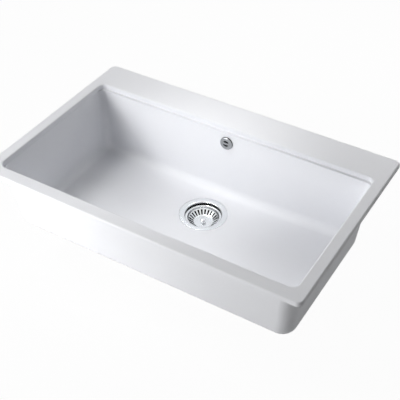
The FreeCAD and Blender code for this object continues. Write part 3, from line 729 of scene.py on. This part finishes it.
def press_waste_flange():
    bm = bmesh.new()
    bent_line(bm, CUP_LINE, CUP_BENDS)
    spin_round(bm, STEPS_ROUND)
    bmesh.ops.solidify(bm, geom=bm.faces[:], thickness=CUP_SHEET)
    hub = bmesh.ops.create_cone(bm, cap_ends=True, segments=48, radius1=HUB_RADIUS,
                                radius2=HUB_RADIUS, depth=SPOKE[2])
    bmesh.ops.translate(bm, vec=HUB_PLACE, verts=hub["verts"])
    for k in range(4):
        spoke = bmesh.ops.create_cube(bm, size=1)["verts"]
        bmesh.ops.scale(bm, vec=SPOKE, verts=spoke)
        bmesh.ops.translate(bm, vec=SPOKE_PLACE, verts=spoke)
        bmesh.ops.rotate(bm, cent=(0, 0, 0), matrix=Matrix.Rotation(k * math.pi / 2, 3, "Z"),
                         verts=spoke)
    bmesh.ops.translate(bm, vec=DRAIN, verts=bm.verts)
    place_piece("waste_rim_and_cup", bm, "sink", cup_stainless,
                "waste_flange")


press_waste_flange()

# %% [markdown]
# ## The strainer basket
#
# The basket is a shallow dish with a ring of radial slots in its sloping side. Its line is spun in
# steps that are a quarter of the slots' spacing, and a slot is two of those columns wide: its
# faces are deleted, and solidify then gives the sheet its thickness and the slots their walls.

# %% Strainer basket
SLOTS = 24
COLUMNS_PER_SLOT = 4
BASKET_LINE = [(43.1, -7.9), (38.5, -7.9), (36.6, -14.2), (34.9, -15.8), (24.4, -23.8), (21.8, -25),
               (4.1, -25)]
BASKET_BENDS = [1.2, 1.2, 0, 0, 1.0]
BASKET_SHEET = 0.8


def press_strainer_basket():
    bm = bmesh.new()
    bent_line(bm, BASKET_LINE, BASKET_BENDS)
    spin_round(bm, SLOTS * COLUMNS_PER_SLOT)
    pitch = 2 * math.pi / SLOTS
    slot_faces = []
    for face in bm.faces:
        middle = face.calc_center_median()
        column = math.atan2(middle.y, middle.x) % pitch / pitch * COLUMNS_PER_SLOT
        if 25 < middle.xy.length < 34.5 and 1 < column < 3 and middle.z < -14:
            slot_faces.append(face)
    bmesh.ops.delete(bm, geom=slot_faces, context="FACES")
    bmesh.ops.solidify(bm, geom=bm.faces[:], thickness=BASKET_SHEET)
    bmesh.ops.translate(bm, vec=DRAIN, verts=bm.verts)
    place_piece("slotted_basket", bm, "basket", satin_stainless,
                "strainer_basket")


press_strainer_basket()

# %% [markdown]
# ## The lifting knob
#
# A turned knob with a narrow neck and a rounded head. Its outline runs from the axis to the axis,
# so the spin closes it at both ends, and merging doubles leaves one vertex at each pole.

# %% Basket knob
KNOB_LINE = [(0, -24.7), (4.2, -24.7), (4.2, -21.7), (6.2, -19.7), (6.2, -15.2), (0, -15.2)]
KNOB_BENDS = [0.3, 0.6, 0.9, 2.4]


def turn_knob():
    bm = bmesh.new()
    bent_line(bm, KNOB_LINE, KNOB_BENDS)
    spin_round(bm, 64)
    bmesh.ops.translate(bm, vec=DRAIN, verts=bm.verts)
    place_piece("lifting_knob", bm, "stopper", polished_stainless,
                "basket_knob")


turn_knob()

# %% [markdown]
# ## The overflow hose
#
# A corrugated hose is blown into a mould with rings cut in it: a smooth cuff at each end, and a
# crest every seven millimetres between them. It runs straight down behind the bowl, turns through a
# quarter circle, and goes forward into the housing. The mesh starts as one circle at the top. Each
# step extrudes the last circle and moves it to the next place along the line, larger for a crest
# and smaller for a groove. At the far end the walk turns back inside the wall, to make the bore.

# %% The hose's line
HOSE_TOP = Vector((0, 181.0, -45.7))
HOSE_INLET_Z = -201.0
HOSE_END_Y = 107.5
HOSE_BEND = 46.0
CUFF = 16.0
drop = HOSE_TOP.z - HOSE_INLET_Z - HOSE_BEND
quarter = HOSE_BEND * math.pi / 2
reach = HOSE_TOP.y - HOSE_BEND - HOSE_END_Y
hose_length = drop + quarter + reach
print("hose length in mm:", round(hose_length, 1))


def along_hose(distance, radius):
    """Where a circle of this radius stands at a distance along the hose."""
    if distance <= drop:
        place, turn = HOSE_TOP - Vector((0, 0, distance)), 0.0
    elif distance <= drop + quarter:
        turn = (distance - drop) / HOSE_BEND
        centre = HOSE_TOP - Vector((0, HOSE_BEND, drop))
        place = centre + Vector((0, math.cos(turn), -math.sin(turn))) * HOSE_BEND
    else:
        turn = math.pi / 2
        place = Vector((0, HOSE_END_Y + hose_length - distance, HOSE_INLET_Z))
    return Matrix.Translation(place) @ Matrix.Rotation(-turn, 4, "X") @ Matrix.Scale(radius, 4)


# %% Corrugated hose
CREST = [8.8, 8.95, 9.75, 10.5, 10.6, 10.5, 9.75, 8.95]
RIBS = 25
CUFF_RADIUS = 9.3
CUFF_EDGE = 0.6
BORE_RADIUS = 7.7
BORE_STEPS = 40
HOSE_CREASE = 60


def blow_hose():
    """Walks a circle along the hose and back through the bore."""
    ribbed = hose_length - 2 * CUFF
    walk = [(0.0, CUFF_RADIUS), (CUFF - CUFF_EDGE, CUFF_RADIUS)]
    steps = RIBS * len(CREST)
    walk += [(CUFF + ribbed * k / steps, CREST[k % len(CREST)]) for k in range(steps + 1)]
    walk += [(hose_length - CUFF + CUFF_EDGE, CUFF_RADIUS), (hose_length, CUFF_RADIUS)]
    walk += [(hose_length * k / BORE_STEPS, BORE_RADIUS) for k in range(BORE_STEPS, -1, -1)]
    bm = bmesh.new()
    verts = bmesh.ops.create_circle(bm, segments=48, radius=1)["verts"]
    edges = bm.edges[:]
    here = Matrix.Identity(4)
    for number, (distance, radius) in enumerate(walk):
        if number:
            new = bmesh.ops.extrude_edge_only(bm, edges=edges)["geom"]
            verts = verts_of(new)
            edges = [item for item in new if isinstance(item, bmesh.types.BMEdge)]
        there = along_hose(distance, radius)
        bmesh.ops.transform(bm, matrix=there @ here.inverted(), verts=verts)
        here = there
    rims = [edge for edge in bm.edges if edge.is_boundary]
    bmesh.ops.bridge_loops(bm, edges=rims)
    place_piece("corrugated_hose", bm, "sink", polyethylene, "overflow_hose",
                HOSE_CREASE)


blow_hose()

# %% [markdown]
# ## Finishes of the imported pieces
#
# The other pieces are already the right shape in the imported model. Their meshes are loose
# triangles, so a Weld modifier joins them for the shading, an Edge Split keeps the real edges
# sharp, and each gets the finish of what it is made of, but for the spigot, whose near black is
# painted shade. The five imported pieces that were made again get theirs too.

# %% Finish each imported piece
WELD_REACH = 0.005
FINISHES = {
    composite: ["sink_body"],
    satin_stainless: ["strainer_basket", "basket_stem", "waste_screw", "snap_ring"],
    # The cup's and the cap's steels hold painted shade.
    cup_stainless: ["waste_flange"],
    polished_stainless: ["basket_knob"],
    satin_cap_steel: ["overflow_cap"],
    turned_brass: ["waste_insert"],
    # Painted shade: the spigot's near black stands for the unlit slots.
    painted_shade_polypropylene: ["overflow_spigot"],
    polypropylene: ["waste_housing", "overflow_elbow", "upper_hose_nut", "lower_hose_nut"],
    polyethylene: ["overflow_hose"],
    nylon: ["clip_anchors"],
    rubber: ["rim_seal", "waste_top_gasket", "waste_lower_gasket", "stopper_seal",
             "overflow_gasket", "upper_hose_seal", "lower_hose_seal"],
}
for finish, names in FINISHES.items():
    for name in names:
        node = nodes[name]
        node.data.materials.clear()
        node.data.materials.append(finish)
        weld = node.modifiers.new("weld", "WELD")
        weld.merge_threshold = WELD_REACH * MM
        smooth(node, CREASE)
print("packed pieces finished:", sum(len(names) for names in FINISHES.values()))
